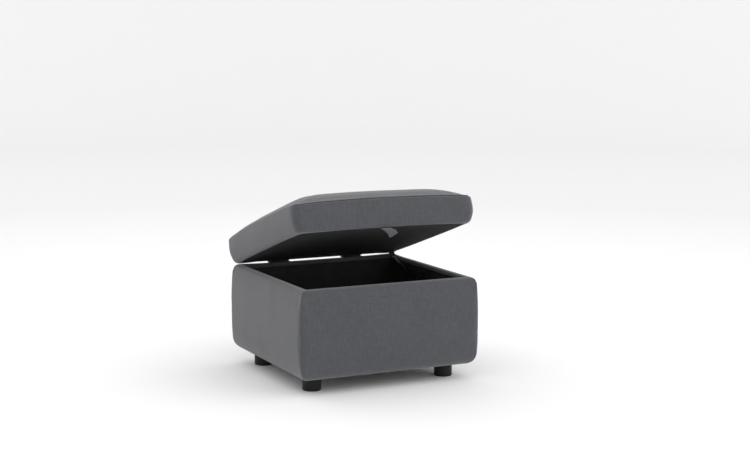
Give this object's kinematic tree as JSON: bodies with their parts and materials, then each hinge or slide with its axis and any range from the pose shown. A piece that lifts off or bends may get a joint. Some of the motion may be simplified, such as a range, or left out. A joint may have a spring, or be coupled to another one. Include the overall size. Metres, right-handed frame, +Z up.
{
  "type": "storage ottoman",
  "caption": "Padded square footstool with a storage box, a crowned hinged lid held open by a gas strut, and round plastic feet.",
  "frame": {"origin": "on the floor, at the middle of the whole ottoman's footprint with the lid as stored (part open)", "axes": "+X to the right seen from the front, +Y to the rear where the lid's hinges are, +Z up"},
  "size_m": [0.608, 0.5944, 0.5837],
  "materials": {
    "upholstery": "matte",
    "black_cloth": "matte",
    "plywood": "matte",
    "foam": "matte",
    "black_plastic": "satin",
    "black_steel": "satin",
    "zinc_steel": "satin"
  },
  "bodies": {
    "base": {"dust_cloth": "black_cloth", "floor_panel": "plywood", "front_cover": "upholstery", "front_left_foot": "black_plastic", "front_left_post": "plywood", "front_left_stud": "zinc_steel", "front_pad": "foam", "front_panel": "plywood", "front_right_foot": "black_plastic", "front_right_post": "plywood", "front_right_stud": "zinc_steel", "left_cover": "upholstery", "left_hinge_base_leaf": "black_steel", "left_hinge_pin": "zinc_steel", "left_inner_base_screw": "black_steel", "left_outer_base_screw": "black_steel", "left_pad": "foam", "left_panel": "plywood", "lining": "black_cloth", "rear_cover": "upholstery", "rear_left_foot": "black_plastic", "rear_left_post": "plywood", "rear_left_stud": "zinc_steel", "rear_pad": "foam", "rear_panel": "plywood", "rear_right_foot": "black_plastic", "rear_right_post": "plywood", "rear_right_stud": "zinc_steel", "right_cover": "upholstery", "right_hinge_base_leaf": "black_steel", "right_hinge_pin": "zinc_steel", "right_inner_base_screw": "black_steel", "right_outer_base_screw": "black_steel", "right_pad": "foam", "right_panel": "plywood", "stay_wall_bracket": "black_steel", "stay_wall_screw_1": "black_steel", "stay_wall_screw_2": "black_steel"},
    "lid": {"left_hinge_lid_leaf": "black_steel", "left_inner_lid_screw": "black_steel", "left_outer_lid_screw": "black_steel", "lid_board": "plywood", "lid_border": "upholstery", "lid_foam": "foam", "lid_top_cover": "upholstery", "lid_underlining": "black_cloth", "pull_tab": "upholstery", "right_hinge_lid_leaf": "black_steel", "right_inner_lid_screw": "black_steel", "right_outer_lid_screw": "black_steel", "stay_lid_bracket": "black_steel", "stay_lid_screw_1": "black_steel", "stay_lid_screw_2": "black_steel"},
    "strut_cylinder": {"strut_lower_socket": "black_plastic", "strut_tube": "black_steel"},
    "strut_piston": {"strut_rod": "zinc_steel", "strut_upper_socket": "black_plastic"}
  },
  "joints": [
    {"name": "lid_hinge", "type": "hinge", "parent": "base", "child": "lid", "pos_m": [0, 0.25552, 0.31745], "axis": [-1, 0, 0], "range_deg": [-17.5, 52.5]},
    {"name": "strut_pivot", "type": "hinge", "parent": "base", "child": "strut_cylinder", "pos_m": [0.25, 0.00552, 0.238], "axis": [1, 0, 0], "range_deg": [-2.2, 6.29]},
    {"name": "strut_slide", "type": "slide", "parent": "strut_cylinder", "child": "strut_piston", "axis": [0, 0.9216, 0.388], "range_m": [-0.0109, 0.0321]}
  ],
  "couplings": [
    {"joint": "strut_pivot", "follows": "lid_hinge", "ratio": 0.117},
    {"joint": "strut_slide", "follows": "lid_hinge", "m_per_rad": 0.0347}
  ]
}
